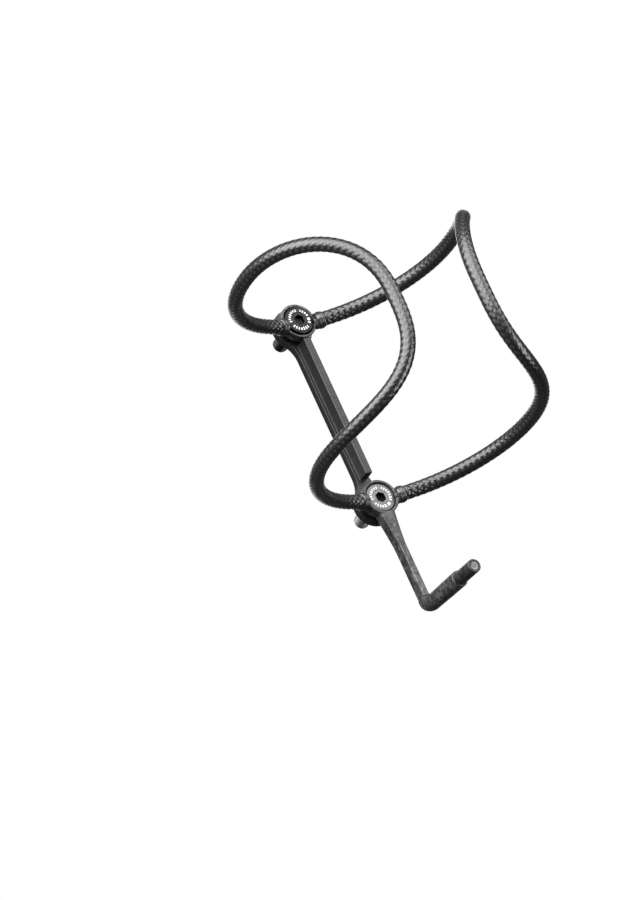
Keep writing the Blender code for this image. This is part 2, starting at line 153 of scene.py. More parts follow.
def make_grain_group():
    """Fine moulding or tool grain: two sizes of noise in object space, from 0 to 1."""
    tree, given, result = new_group("skin_grain", {"Where": None, "Size": 0.3 * MM}, ["Grain"])
    coarseness = 0.13
    scale = sums(tree, "DIVIDE", 1.0, given["Size"])
    layers = [
        wire(tree, "ShaderNodeTexNoise", {"Vector": given["Where"], "Scale": each})["Fac"]
        for each in (scale, sums(tree, "MULTIPLY", scale, coarseness))
    ]
    both = sums(tree, "ADD", *layers)
    tree.links.new(sums(tree, "MULTIPLY", both, 0.5), result["Grain"])
    return tree


def softened(name, node, edge):
    """A CAD node's own shape, merged and with its flat faces whole, its edges rounded."""
    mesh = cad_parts[node].data.copy()
    shape = bmesh.new()
    shape.from_mesh(mesh)
    bmesh.ops.remove_doubles(shape, verts=shape.verts, dist=0.002 * MM)
    bmesh.ops.dissolve_limit(
        shape, angle_limit=math.radians(1.0), verts=shape.verts, edges=shape.edges
    )
    shape.to_mesh(mesh)
    shape.free()
    mesh.shade_smooth()
    made = bpy.data.objects.new(name, mesh)
    bpy.context.scene.collection.objects.link(made)
    bevel = made.modifiers.new("soft edges", "BEVEL")
    bevel.width = edge
    bevel.segments = 3
    bevel.limit_method = "ANGLE"
    bevel.angle_limit = math.radians(40.0)
    bevel.harden_normals = True
    return made


def fit(piece, body, material, node):
    """Gives a piece its finish and slot, and puts it in place of its CAD node."""
    piece.data.materials.clear()
    piece.data.materials.append(material)
    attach(piece, body)
    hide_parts(node)


skin_grain = make_grain_group()


def rail_finish():
    """Satin black plastic, with a row of plain pressed dashes along the rib's top.

    Dashes stand across the rib in groups. A dash is where the place along the rib, cut
    into equal steps, is in a step's second half, and a group is cut the same way.
    """
    rib_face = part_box("base_rail")[0].y
    rib_middle, printed_half = 2.5 * MM, 13.5 * MM
    dash_step, dash_half_length = 0.82 * MM, 0.7 * MM
    group_step, group_share = 4.1 * MM, 0.8
    made, tree, shader, where = new_finish("rail_plastic", specular=0.6)
    grain = use_group(tree, skin_grain, Where=where, Size=0.25 * MM)["Grain"]
    axes = wire(tree, "ShaderNodeSeparateXYZ", {0: where})
    from_middle = sums(tree, "SUBTRACT", axes["Z"], rib_middle)
    in_group = sums(tree, "FRACT", sums(tree, "DIVIDE", axes["Z"], group_step))
    in_dash = sums(tree, "FRACT", sums(tree, "DIVIDE", axes["Z"], dash_step))
    pressed = product(
        tree,
        sums(tree, "LESS_THAN", axes["Y"], rib_face + 0.15 * MM),
        sums(tree, "LESS_THAN", sums(tree, "ABSOLUTE", axes["X"]), dash_half_length),
        sums(tree, "LESS_THAN", in_group, group_share),
        sums(tree, "GREATER_THAN", in_dash, 0.5),
        sums(tree, "LESS_THAN", sums(tree, "ABSOLUTE", from_middle), printed_half),
    )
    colour = mixed(tree, grain, (0.006, 0.006, 0.007), (0.018, 0.018, 0.020))
    colour = mixed(tree, pressed, colour, (0.045, 0.045, 0.05))
    roughness = sums(tree, "MULTIPLY_ADD", grain, 0.22, 0.30)
    height = sums(tree, "MULTIPLY_ADD", pressed, -4.0, grain)
    dress(tree, shader, colour, roughness, height, 0.5, 0.04 * MM)
    return made


rail = softened("moulded_rail", "base_rail", 0.28 * MM)
fit(rail, "spine", rail_finish(), "base_rail")

# ------------------------------------------------------- the hubs and the tail
# Chopped carbon and resin are pressed into two rings that hold the bolts' heads, each with
# a shoulder for a tube on both sides. The lower ring runs on into the tail: a thin arm, a
# tight elbow and a round sleeve. The pressing leaves soft edges and a mottled skin.

LEVELS = {
    level: sum(corner.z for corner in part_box(f"{level}_washer")) / 2 for level in ("upper", "lower")
}
RING_TOP = {"upper": 6.9 * MM, "lower": 7.5 * MM}
RING_BOTTOM = 2.8 * MM
RING_RADIUS = 5.9 * MM
BARREL_RADIUS = 4.9 * MM
RECESS_RADIUS = 5.0 * MM
RECESS_FLOOR = 4.1 * MM
HOLE_RADIUS = 2.7 * MM
BOTTLE_RADIUS = 37.24 * MM
BOTTLE_AXIS_OUT = 44.1 * MM
BEND_ANGLE = math.asin((RING_RADIUS + 5.6 * MM) / BOTTLE_RADIUS)
ROOT_RUN = 3.2 * MM
COLLAR_ROOM = 2.7 * MM
SHOULDER_RADIUS = 2.5 * MM
SPIGOT_RADIUS = 1.2 * MM
RUN_HEIGHT = {"upper": LEVELS["upper"] - 1.3 * MM, "lower": LEVELS["lower"] - 0.5 * MM}
ARM_OUT = RING_TOP["lower"] - 2.2 * MM
ARM_DROP = 38.1 * MM
ARM_WIDTHS = (7.1 * MM, 2.4 * MM)
ARM_TAPER = 17 * MM
ARM_DEPTH = 4.4 * MM
ELBOW_RADIUS = 3.7 * MM
FOOT_DROOP = math.radians(6.4)
FOOT_LENGTH = 22.0 * MM
SLEEVE_WIDTHS = (5.0 * MM, 5.4 * MM)
ARM_WAY = np.array([0.0, 0.0, -1.0])
FOOT_WAY = np.array([0.0, -math.cos(FOOT_DROOP), -math.sin(FOOT_DROOP)])
ELBOW = np.array([0.0, -ARM_OUT, LEVELS["lower"] - ARM_DROP])


def skin(name, grid, ring=False, weave=None):
    """A closed surface over a grid of points whose columns run round the piece.

    Rows follow one another along the piece. A ring's last row joins its first, and other
    pieces are capped at both ends, where a row drawn to a point becomes a pole. Weave
    gives the texture place of the rows, and of the columns and the seam after them.
    """
    rows, columns = grid.shape[:2]
    row = np.arange(rows if ring else rows - 1)[:, None, None]
    column = np.arange(columns)[None, :, None]
    down = row + np.array([0, 0, 1, 1])
    across = column + np.array([0, 1, 1, 0])
    quads = (down % rows) * columns + across % columns
    faces = quads.reshape(-1, 4).tolist()
    if not ring:
        faces.append(list(range(columns - 1, -1, -1)))
        faces.append(list(range((rows - 1) * columns, rows * columns)))
    mesh = bpy.data.meshes.new(name)
    mesh.from_pydata(grid.reshape(-1, 3), [], faces)
    if weave is not None:
        along, round_it = weave
        place = np.zeros((len(mesh.loops), 2), np.float32)
        pairs = np.stack(np.broadcast_arrays(along[down], round_it[across]), -1)
        place[: quads.size] = pairs.reshape(-1, 2)
        mesh.uv_layers.new(name="weave").data.foreach_set("uv", place.ravel())
    shape = bmesh.new()
    shape.from_mesh(mesh)
    bmesh.ops.remove_doubles(shape, verts=shape.verts, dist=0.0005 * MM)
    bmesh.ops.recalc_face_normals(shape, faces=shape.faces)
    shape.to_mesh(mesh)
    shape.free()
    mesh.shade_smooth()
    mesh.set_sharp_from_angle(angle=math.radians(50.0))
    return mesh


def put(name, mesh):
    """An object at the origin, from a mesh that is already in its place."""
    made = bpy.data.objects.new(name, mesh)
    bpy.context.scene.collection.objects.link(made)
    return made


def eased(points, radius, closed=False, steps=6):
    """Rounds an outline: each corner becomes a quadratic curve between two points that
    lie the radius away along its sides, or nearly half a side where that is shorter."""
    points = np.array(points, float)
    share = np.linspace(0, 1, steps)[None, :, None]
    ends = []
    for turn in (1, -1):
        side = np.roll(points, turn, 0) - points
        length = np.linalg.norm(side, axis=1, keepdims=True)
        ends.append(points + side / length * np.minimum(radius, 0.45 * length))
    start, stop = (end[:, None] for end in ends)
    corner = 2 * share * (1 - share) * points[:, None]
    curve = (1 - share) ** 2 * start + corner + share**2 * stop
    if closed:
        return curve.reshape(-1, 2)
    return np.concatenate([points[:1], curve[1:-1].reshape(-1, 2), points[-1:]])


def turned(name, profile, origin, axis, steps=96, ring=False):
    """Turns (radius, height) points round an axis: a point is the origin, plus its height
    along the axis, plus its radius along a direction that goes once round."""
    axis = np.array(axis, float)
    side = np.cross(axis, (1.0, 0.0, 0.0) if abs(axis[0]) < 0.9 else (0.0, 0.0, 1.0))
    side /= np.linalg.norm(side)
    other = np.cross(axis, side)
    turn = np.linspace(0, 2 * np.pi, steps, endpoint=False)
    spoke = np.outer(np.cos(turn), side) + np.outer(np.sin(turn), other)
    radius, height = np.array(profile, float).T
    grid = radius[:, None, None] * spoke[None] + height[:, None, None] * axis
    return skin(name, grid + np.array(origin, float), ring)


def lofted(name, centres, across, up, halves, exponents, steps=48):
    """Superellipse sections carried along a path: at each centre, a point goes round as
    its half width times cos and its half height times sin, each to the power 2/exponent."""
    turn = np.linspace(0, 2 * np.pi, steps, endpoint=False)
    power = 2 / exponents[:, None]
    u, v = (
        np.sign(wave) * np.abs(wave) ** power * halves[:, [k]]
        for k, wave in enumerate((np.cos(turn), np.sin(turn)))
    )
    spokes = u[..., None] * across[:, None] + v[..., None] * up[:, None]
    return skin(name, centres[:, None] + spokes)


def ring_shell(level):
    """The turned ring: a hole, a recess floor, a rim, and a barrel under the flare."""
    top = RING_TOP[level]
    profile = [
        (HOLE_RADIUS, RING_BOTTOM),
        (BARREL_RADIUS, RING_BOTTOM),
        (BARREL_RADIUS, RING_BOTTOM + 0.3 * MM),
        (RING_RADIUS, RECESS_FLOOR),
        (RING_RADIUS, top),
        (RECESS_RADIUS, top),
        (RECESS_RADIUS, RECESS_FLOOR),
        (HOLE_RADIUS, RECESS_FLOOR),
    ]
    profile = eased(profile, 0.3 * MM, closed=True)
    return turned("ring", profile, (0, 0, LEVELS[level]), (0, -1, 0), steps=160, ring=True)


def root_of(level, side):
    """Where a tube starts beside its hub, and the way it leaves."""
    along = np.array([math.cos(BEND_ANGLE), -math.sin(BEND_ANGLE), 0.0])
    spoke = BOTTLE_RADIUS * np.array([math.sin(BEND_ANGLE), math.cos(BEND_ANGLE), 0.0])
    bend = spoke + np.array([0.0, -BOTTLE_AXIS_OUT, RUN_HEIGHT[level]])
    mirror = np.array([side, 1.0, 1.0])
    return (bend - ROOT_RUN * along) * mirror, along * mirror


def shoulder_shell(level, side):
    """The shoulder swells from the ring's wall to a round face that the tube meets."""
    end, along = root_of(level, side)
    face = end - along * COLLAR_ROOM
    middle_out = (RECESS_FLOOR + RING_TOP[level]) / 2
    middle_height = (LEVELS[level] + RUN_HEIGHT[level]) / 2
    wall = np.array([side * (RECESS_RADIUS + 0.06 * MM), -middle_out, middle_height])
    wall_half = np.array([RING_TOP[level] - middle_out - 0.05 * MM, 2.3 * MM])
    share = np.linspace(0, 1, 12)[:, None]
    ease = share * share * (3 - 2 * share)
    heading = np.array([side, 0.0, 0.0]) * (1 - ease) + along * ease
    heading /= np.linalg.norm(heading, axis=1, keepdims=True)
    up = np.repeat([[0.0, 0.0, 1.0]], len(share), 0)
    halves = wall_half + (SHOULDER_RADIUS - wall_half) * np.minimum(1, 1.25 * ease)
    exponents = np.linspace(2.6, 2.0, len(share))
    centres = wall + (face - wall) * share
    return lofted("shoulder", centres, np.cross(heading, up), up, halves, exponents)


def spigot_shell(level, side):
    """The thin spigot that goes on through the collar into the tube."""
    end, along = root_of(level, side)
    start, tip = -COLLAR_ROOM - 1 * MM, 2.7 * MM
    profile = [(0, start), (SPIGOT_RADIUS, start), (SPIGOT_RADIUS, tip), (0, tip)]
    return turned("spigot", eased(profile, 0.2 * MM), end, along, steps=40)


def tail_shell():
    """Arm, elbow and sleeve: straight, then a circular arc, then straight again.

    The arm's width falls with a power of the length left in its taper. Section, width
    and depth all turn into the round sleeve's over the elbow, where the exponent falls
    from a soft rectangle's to a circle's.
    """
    boxy, tubular = 5.0, 2.1
    start_below_bolt, round_end = 5.15 * MM, 0.5 * MM
    bend = math.acos(float(ARM_WAY @ FOOT_WAY))
    tangent = ELBOW_RADIUS * math.tan(bend / 2)
    arm_travel = np.linspace(start_below_bolt, ARM_DROP - tangent, 120)
    turn = np.linspace(0, bend, 40)[1:]
    foot_travel = np.linspace(tangent, FOOT_LENGTH, 50)[1:]
    inwards = FOOT_WAY - ARM_WAY * (ARM_WAY @ FOOT_WAY)
    inwards /= np.linalg.norm(inwards)
    centre = ELBOW - ARM_WAY * tangent + inwards * ELBOW_RADIUS
    arc = np.outer(np.sin(turn), ARM_WAY) - np.outer(np.cos(turn), inwards)
    centres = np.concatenate(
        [
            ELBOW + np.outer(arm_travel - ARM_DROP, ARM_WAY),
            centre + ELBOW_RADIUS * arc,
            ELBOW + np.outer(foot_travel, FOOT_WAY),
        ]
    )
    heading = np.concatenate(
        [
            np.repeat(ARM_WAY[None], len(arm_travel), 0),
            np.outer(np.cos(turn), ARM_WAY) + np.outer(np.sin(turn), inwards),
            np.repeat(FOOT_WAY[None], len(foot_travel), 0),
        ]
    )
    sideways = np.repeat([[1.0, 0.0, 0.0]], len(centres), 0)
    taper = np.clip(1 - arm_travel / ARM_TAPER, 0, 1) ** 1.2
    arm = ARM_WIDTHS[1] + (ARM_WIDTHS[0] - ARM_WIDTHS[1]) * taper
    share = (turn / bend) ** 0.65
    swell = np.minimum(1, (foot_travel - tangent) / (FOOT_LENGTH - tangent) / 0.7)
    sleeve = SLEEVE_WIDTHS[0] + (SLEEVE_WIDTHS[1] - SLEEVE_WIDTHS[0]) * swell
    sleeve -= 0.35 * MM * np.clip(1 - (FOOT_LENGTH - foot_travel) / round_end, 0, 1) ** 2

    def elbow(first, last):
        """A measure that eases from the arm's to the sleeve's."""
        return first + (last - first) * share

    widths = np.concatenate([arm, elbow(ARM_WIDTHS[1], SLEEVE_WIDTHS[0]), sleeve])
    depths = [np.full(len(arm), ARM_DEPTH), elbow(ARM_DEPTH, SLEEVE_WIDTHS[0]), sleeve]
    exponents = [np.full(len(arm), boxy), elbow(boxy, tubular), np.full(len(sleeve), tubular)]
    halves = np.stack([widths, np.concatenate(depths)], 1) / 2
    up = np.cross(sideways, heading)
    return lofted("tail", centres, sideways, up, halves, np.concatenate(exponents), steps=64)


def pressed_from(name, shells, voxel, rounds=4):
    """Melts overlapping shells into one moulding with soft inner and outer corners."""
    whole = bmesh.new()
    for shell in shells:
        whole.from_mesh(shell)
    mesh = bpy.data.meshes.new(name)
    whole.to_mesh(mesh)
    whole.free()
    piece = put(name, mesh)
    remesh = piece.modifiers.new("one moulding", "REMESH")
    remesh.mode = "VOXEL"
    remesh.voxel_size = voxel
    remesh.use_smooth_shade = True
    smooth = piece.modifiers.new("soft corners", "SMOOTH")
    smooth.factor = 0.5
    smooth.iterations = rounds
    graph = bpy.context.evaluated_depsgraph_get()
    moulding = bpy.data.meshes.new_from_object(piece.evaluated_get(graph))
    piece.modifiers.clear()
    piece.data = moulding
    moulding.shade_smooth()
    return piece


def make_flake_group():
    """Chopped strands: two layers of stretched cells, each cell of its own grey, and fine
    fibre lines in them. Flakes runs 0 to 1, and Fibres is the lines' height."""
    inputs = {"Where": None, "Size": 1.0 * MM}
    tree, given, result = new_group("carbon_flakes", inputs, ["Flakes", "Fibres"])
    where = given["Where"]
    scale = sums(tree, "DIVIDE", 1.0, given["Size"])
    inputs = {"Vector": where, "Scale": scale, "Detail": 1.0}
    warp = wire(tree, "ShaderNodeTexNoise", inputs)["Color"]
    warp = wire(tree, "ShaderNodeVectorMath", {0: warp, "Scale": 0.6 * MM}, operation="SCALE")[0]
    bent = wire(tree, "ShaderNodeVectorMath", {0: where, 1: warp}, operation="ADD")[0]
    layers = []
    for turn, stretch in ((0.6, (1.0, 1.0, 0.35)), (-0.9, (0.4, 1.0, 1.0))):
        inputs = {"Vector": bent, "Rotation": (turn, turn, 2 * turn), "Scale": stretch}
        laid = wire(tree, "ShaderNodeMapping", inputs)[0]
        cells = wire(tree, "ShaderNodeTexVoronoi", {"Vector": laid, "Scale": scale})
        layers.append(wire(tree, "ShaderNodeSeparateXYZ", {0: cells["Color"]})["X"])
    flakes = sums(tree, "POWER", sums(tree, "ADD", product(tree, *layers), 0.02), 0.9)
    tree.links.new(flakes, result["Flakes"])
    inputs = {"Vector": bent, "Rotation": (0.4, 0.2, 0.7), "Scale": (1.0, 6.0, 0.5)}
    lines = wire(tree, "ShaderNodeMapping", inputs)[0]
    inputs = {"Vector": lines, "Scale": sums(tree, "MULTIPLY", scale, 3.0), "Detail": 3.0}
    tree.links.new(wire(tree, "ShaderNodeTexNoise", inputs)["Fac"], result["Fibres"])
    return tree


carbon_flakes = make_flake_group()


def moulded_finish():
    """Mottled grey flakes in dark resin, under a satin lacquer."""
    made, tree, shader, where = new_finish("forged_carbon", coat=0.35, coat_roughness=0.28)
    mottle = use_group(tree, carbon_flakes, Where=where, Size=0.85 * MM)
    colour = mixed(tree, mottle["Flakes"], (0.010, 0.010, 0.010), (0.14, 0.14, 0.145))
    roughness = sums(tree, "MULTIPLY_ADD", mottle["Flakes"], -0.15, 0.48)
    grain = use_group(tree, skin_grain, Where=where, Size=0.5 * MM)["Grain"]
    height = sums(tree, "MULTIPLY_ADD", mottle["Fibres"], 0.5, grain)
    dress(tree, shader, colour, roughness, height, 0.35, 0.06 * MM)
    return made


forged_carbon = moulded_finish()
pressings = {"upper": ("upper_hub", 0.11 * MM), "lower": ("lower_hub_arm", 0.135 * MM)}
for level, (node, voxel) in pressings.items():
    shells = [ring_shell(level)]
    for side in (-1, 1):
        shells += [shoulder_shell(level, side), spigot_shell(level, side)]
    if level == "lower":
        shells.append(tail_shell())
    pressed = pressed_from(f"pressed_{node}", shells, voxel)
    fit(pressed, "spine", forged_carbon, node)

# ------------------------------------------------------------- the foot pin
# A ground carbon pin stands in the end of the sleeve, where the bottle's base rests on it.
# Its rim is softly broken, and a plug of grey resin closes its hollow end.

PIN_RADIUS = 2.2 * MM
PIN_START = FOOT_LENGTH - 0.4 * MM
PIN_TIP = FOOT_LENGTH + 9.7 * MM
WELL_RADIUS = 1.5 * MM
WELL_DEPTH = 1.5 * MM
PLUG_RADIUS = 1.42 * MM


def pin_finish():
    """Ground carbon: finer flakes, hardly any lacquer, and a fine satin grain."""
    made, tree, shader, where = new_finish("pin_carbon", coat=0.2, coat_roughness=0.3)
    mottle = use_group(tree, carbon_flakes, Where=where, Size=0.7 * MM)
    colour = mixed(tree, mottle["Flakes"], (0.010, 0.010, 0.010), (0.06, 0.06, 0.062))
    grain = use_group(tree, skin_grain, Where=where, Size=0.2 * MM)["Grain"]
    roughness = sums(tree, "MULTIPLY_ADD", grain, 0.25, 0.32)
    dress(tree, shader, colour, roughness, grain, 0.3, 0.03 * MM)
    return made


pin_profile = [
    (0.0, PIN_TIP - WELL_DEPTH),
    (WELL_RADIUS, PIN_TIP - WELL_DEPTH),
    (WELL_RADIUS, PIN_TIP),
    (PIN_RADIUS, PIN_TIP),
    (PIN_RADIUS, PIN_START),
    (0.0, PIN_START),
]
pin_mesh = turned("pin", eased(pin_profile, 0.4 * MM, steps=10), ELBOW, FOOT_WAY)
fit(put("foot_pin_rod", pin_mesh), "spine", pin_finish(), "foot_pin")


def plug_finish():
    """Grey cast resin with dark specks."""
    made, tree, shader, where = new_finish("plug_resin")
    grain = use_group(tree, skin_grain, Where=where, Size=0.5 * MM)["Grain"]
    speck = wire(tree, "ShaderNodeMapRange", {0: grain, 1: 0.42, 2: 0.6})[0]
    colour = mixed(tree, speck, (0.03, 0.03, 0.03), (0.32, 0.32, 0.32))
    roughness = sums(tree, "MULTIPLY_ADD", grain, 0.3, 0.35)
    dress(tree, shader, colour, roughness, grain, 0.5, 0.05 * MM)
    return made


plug_profile = [
    (0.0, PIN_TIP - 0.35 * MM),
    (0.75 * MM, PIN_TIP - 0.25 * MM),
    (PLUG_RADIUS, PIN_TIP - 0.1 * MM),
    (PLUG_RADIUS, PIN_TIP - 1.4 * MM),
    (0.0, PIN_TIP - 1.4 * MM),
]
plug_mesh = turned("plug", eased(plug_profile, 0.12 * MM), ELBOW, FOOT_WAY, steps=64)
fit(put("foot_plug_disc", plug_mesh), "spine", plug_finish(), "foot_plug")

# --------------------------------------------------------------- the loops
# Each side is one tube of braided carbon, cured round a mandrel and bent to the bottle, so
# it springs. Fourteen flat tows cross over and under one another, seven each way, and show
# as rows of small cushions under a thick glossy lacquer.

TUBE_RADIUS = 2.35 * MM
BORE_RADIUS = 1.6 * MM
LOOP_TIP_HEIGHT = -1.1 * MM
TIP_ANGLE = math.radians(157.0)
TOWS_EACH_WAY = 7
TOW_STEP = 2.15 * MM
TOW_RELIEF = 0.1 * MM
SAMPLE = 0.19 * MM


def loop_path(side):
    """The tube's centre line: straight runs above and below, and a superellipse end.

    A turn goes from +90 to -90 degrees. The angle round the bottle is the bend plus the
    rest times cos to the power 2/exponent, the height is the tip's plus the rise times
    sin to that power, and the radius swells at the front as the fourth power of cos.
    The line is then sampled evenly and smoothed, except close to its ends.
    """
    turn = np.linspace(np.pi / 2, -np.pi / 2, 4001)
    upper = turn > 0
    power = 2 / np.where(upper, 2.42, 2.95)
    bend = np.radians(np.where(upper, 90.0, 83.6))
    rise = np.where(upper, RUN_HEIGHT["upper"], RUN_HEIGHT["lower"]) - LOOP_TIP_HEIGHT
    angle = bend + (TIP_ANGLE - bend) * np.abs(np.cos(turn)) ** power
    height = LOOP_TIP_HEIGHT + rise * np.abs(np.sin(turn)) ** power
    swell = (1.9 * MM + 0.7 * MM * np.sin(turn)) * np.cos(turn) ** 4
    run = 400
    leaving = np.linspace(BEND_ANGLE, 0.999 * bend[0], run)
    coming_back = np.linspace(0.999 * bend[-1], BEND_ANGLE, run)
    angle = np.concatenate([leaving, angle, coming_back])
    height = np.pad(height, run, mode="edge")
    radius = BOTTLE_RADIUS + np.pad(swell, run)
    out = radius * np.cos(angle) - BOTTLE_AXIS_OUT
    points = np.stack([radius * np.sin(angle), out, height], 1)
    points = np.concatenate([[root_of("upper", 1)[0]], points, [root_of("lower", 1)[0]]])
    steps = np.linalg.norm(np.diff(points, axis=0), axis=1)
    travelled = np.concatenate([[0], np.cumsum(steps)])
    even = np.linspace(0, travelled[-1], int(travelled[-1] / SAMPLE))
    points = np.stack([np.interp(even, travelled, points[:, k]) for k in range(3)], 1)
    window = np.hanning(15)[1:-1]
    window /= window.sum()
    padded = np.pad(points, ((6, 6), (0, 0)), mode="edge")
    smoothed = sum(w * padded[k : k + len(even)] for k, w in enumerate(window))
    hold = np.clip(np.minimum(even, even[-1] - even) / (2 * MM), 0, 1)[:, None]
    return (points + (smoothed - points) * hold) * [side, 1.0, 1.0], even


def tow_relief(along, round_it):
    """How high the braid stands, from 0 to 1. In the two diagonal directions P and Q,
    each unit square shows the tow that is on top there: crowned across, by one less the
    cube of the place, and arched along, by a sine, between its crossings."""
    p, q = along + round_it, along - round_it
    p_top = (np.floor(p) + np.floor(q)) % 2 < 1
    across = np.where(p_top, p % 1, q % 1)
    length = np.where(p_top, q % 1, p % 1)
    crown = 1 - np.abs(2 * across - 1) ** 3
    arch = 0.3 + 0.7 * np.sin(np.pi * length)
    return crown * arch


def braided_tube(side):
    """The tube's skin: rows run up one end's bore, over its lip, along the outside and
    down the other bore. Each row is a circle about the centre line, square to it. The
    braid bunches up towards the ends, where its relief grows."""
    points, travel = loop_path(side)
    heading = np.gradient(points, axis=0)
    heading /= np.linalg.norm(heading, axis=1, keepdims=True)
    from_bottle = points * [1, 1, 0] + [0, BOTTLE_AXIS_OUT, 0]
    out_way = from_bottle - heading * (from_bottle * heading).sum(1, keepdims=True)
    out_way /= np.linalg.norm(out_way, axis=1, keepdims=True)
    side_way = np.cross(heading, out_way)
    deep = int(3.4 * MM / SAMPLE)
    last = len(points) - 1
    lip = [(deep, 0.0), (deep, BORE_RADIUS), (0, BORE_RADIUS), (0, TUBE_RADIUS - 0.15 * MM)]
    lip_row, lip_radius = zip(*lip)
    index = [*lip_row, *range(last + 1), *(last - row for row in lip_row[::-1])]
    edge = np.minimum(travel, travel[-1] - travel)
    rounding = 0.15 * MM * np.clip(1 - edge / (0.4 * MM), 0, 1) ** 2
    radius = np.concatenate([lip_radius, TUBE_RADIUS - rounding, lip_radius[::-1]])
    turn = np.linspace(0, 2 * np.pi, 64, endpoint=False)
    along = travel[index] / TOW_STEP
    round_it = np.append(turn, 2 * np.pi) / (2 * np.pi) * TOWS_EACH_WAY
    bunched = 1 + 1.8 * np.exp(-edge / (8 * MM))
    depth = TOW_RELIEF * bunched * np.clip(edge / (1.2 * MM), 0, 1)
    depth = np.pad(depth, len(lip))[:, None]
    relief = tow_relief(along[:, None], round_it[None, :-1])
    reach = radius[:, None] - depth * (1 - relief)
    spoke = np.cos(turn)[:, None] * out_way[index][:, None]
    spoke = spoke + np.sin(turn)[:, None] * side_way[index][:, None]
    grid = points[index][:, None] + reach[..., None] * spoke
    return skin("braid", grid, weave=(along, round_it))


def make_tow_group():
    """The braid's shading from its texture place. Lean tells the two ways of winding
    apart, Fibres are fine lines along the tow on top, and Crown is its rounded middle."""
    tree, given, result = new_group("tow_pattern", {"Place": None}, ["Lean", "Fibres", "Crown"])
    place = wire(tree, "ShaderNodeSeparateXYZ", {0: given["Place"]})
    p = sums(tree, "ADD", place["X"], place["Y"])
    q = sums(tree, "SUBTRACT", place["X"], place["Y"])
    cell = sums(tree, "ADD", sums(tree, "FLOOR", p), sums(tree, "FLOOR", q))
    lean = sums(tree, "LESS_THAN", sums(tree, "FLOORED_MODULO", cell, 2.0), 0.5)
    across, length = (
        wire(tree, "ShaderNodeMix", {0: lean, 2: second, 3: first})[0]
        for first, second in ((p, q), (q, p))
    )
    thread = {0: sums(tree, "MULTIPLY", across, 14.0), 1: length}
    thread = wire(tree, "ShaderNodeCombineXYZ", thread)[0]
    fibres = wire(tree, "ShaderNodeTexNoise", {"Vector": thread, "Scale": 1.3, "Detail": 2.0})
    crown = sums(tree, "MULTIPLY", sums(tree, "PINGPONG", across, 0.5), 2.0)
    tree.links.new(lean, result["Lean"])
    tree.links.new(fibres["Fac"], result["Fibres"])
    tree.links.new(crown, result["Crown"])
    return tree


tow_pattern = make_tow_group()


def braid_finish():
    """Dark tows under clear lacquer, with fine fibre streaks. One way of winding is painted a lighter
    grey than the other, a painted sheen for light caught along its fibres, and each tow is painted
    darker towards its edges, a painted shade in the creases between tows.
    """
    made, tree, shader, _ = new_finish("braided_carbon", coat=1.0, coat_roughness=0.27)
    place = wire(tree, "ShaderNodeUVMap", uv_map="weave")[0]
    tows = use_group(tree, tow_pattern, Place=place)
    # Painted sheen: one way of winding is painted lighter than the other, for light caught along its
    # fibres.
    braid_tone_with_painted_sheen_and_shade = sums(tree, "MULTIPLY_ADD", tows["Lean"], 0.6, -0.3)
    braid_tone_with_painted_sheen_and_shade = sums(tree, "ADD", braid_tone_with_painted_sheen_and_shade, tows["Fibres"])
    # Painted shade: each tow is darker towards its edges, in the creases where it meets the next.
    braid_tone_with_painted_sheen_and_shade = product(tree, braid_tone_with_painted_sheen_and_shade, sums(tree, "MULTIPLY_ADD", tows["Crown"], 0.75, 0.25))
    colour = mixed(tree, braid_tone_with_painted_sheen_and_shade, (0.004, 0.004, 0.004), (0.065, 0.065, 0.068))
    roughness = sums(tree, "MULTIPLY_ADD", tows["Fibres"], -0.25, 0.5)
    dress(tree, shader, colour, roughness, tows["Fibres"], 0.4, 0.04 * MM)
    return made


braided_carbon = braid_finish()
for name, side in (("left", -1), ("right", 1)):
    tube = put(f"{name}_braided_tube", braided_tube(side))
    fit(tube, f"{name}_wing", braided_carbon, f"{name}_loop")

# -------------------------------------------------------------- the collars
# Where tube and shoulder meet, carbon thread is wound round the joint and soaked in resin.
# The turns and the drips make a short lumpy collar that shines.

COLLAR_RADII = (2.42 * MM, 2.76 * MM, 2.8 * MM)
COLLAR_BORE = 1.25 * MM
THREAD_PITCH = 0.42 * MM
THREAD_RELIEF = 0.045 * MM
LUMP = 0.028 * MM
TUBE_GAP = 0.3 * MM


def wound_collar(level, side):
    """A turned bulge with a helical thread on it: the radius follows a flattened arch
    along the collar, plus a small wave of the place along minus the turn, plus slow
    lumps from three waves of unlike counts, which differ from one collar to the next."""
    end, along = root_of(level, side)
    rim, middle, most = COLLAR_RADII
    share = np.linspace(0, 1, 60)
    turn = np.linspace(0, 2 * np.pi, 96, endpoint=False)
    length = np.interp(share, [0, 1], [-COLLAR_ROOM - 0.12 * MM, -TUBE_GAP])
    arch = np.sin(np.pi * share)[:, None]
    shape = rim + (middle - rim) * np.clip(arch, 0, 1) ** 0.7
    wave = np.cos(2 * np.pi * length[:, None] / THREAD_PITCH - turn)
    seed = LEVELS[level] * 90 + side
    place = share[:, None]
    lumps = np.cos(3 * turn + 5 * seed) + np.cos(2 * turn - 9 * seed + 4 * place)
    lumps = lumps + np.cos(5 * turn + 7 * place + seed)
    radius = np.minimum(shape + (THREAD_RELIEF * wave + LUMP * lumps) * arch, most)
    up = np.array([0.0, 0.0, 1.0])
    spoke = np.outer(np.cos(turn), np.cross(along, up)) + np.outer(np.sin(turn), up)
    outside = end + length[:, None, None] * along + radius[..., None] * spoke
    inside = end + length[[-1, 0], None, None] * along + COLLAR_BORE * spoke
    return skin("collar", np.concatenate([outside, inside]), ring=True)


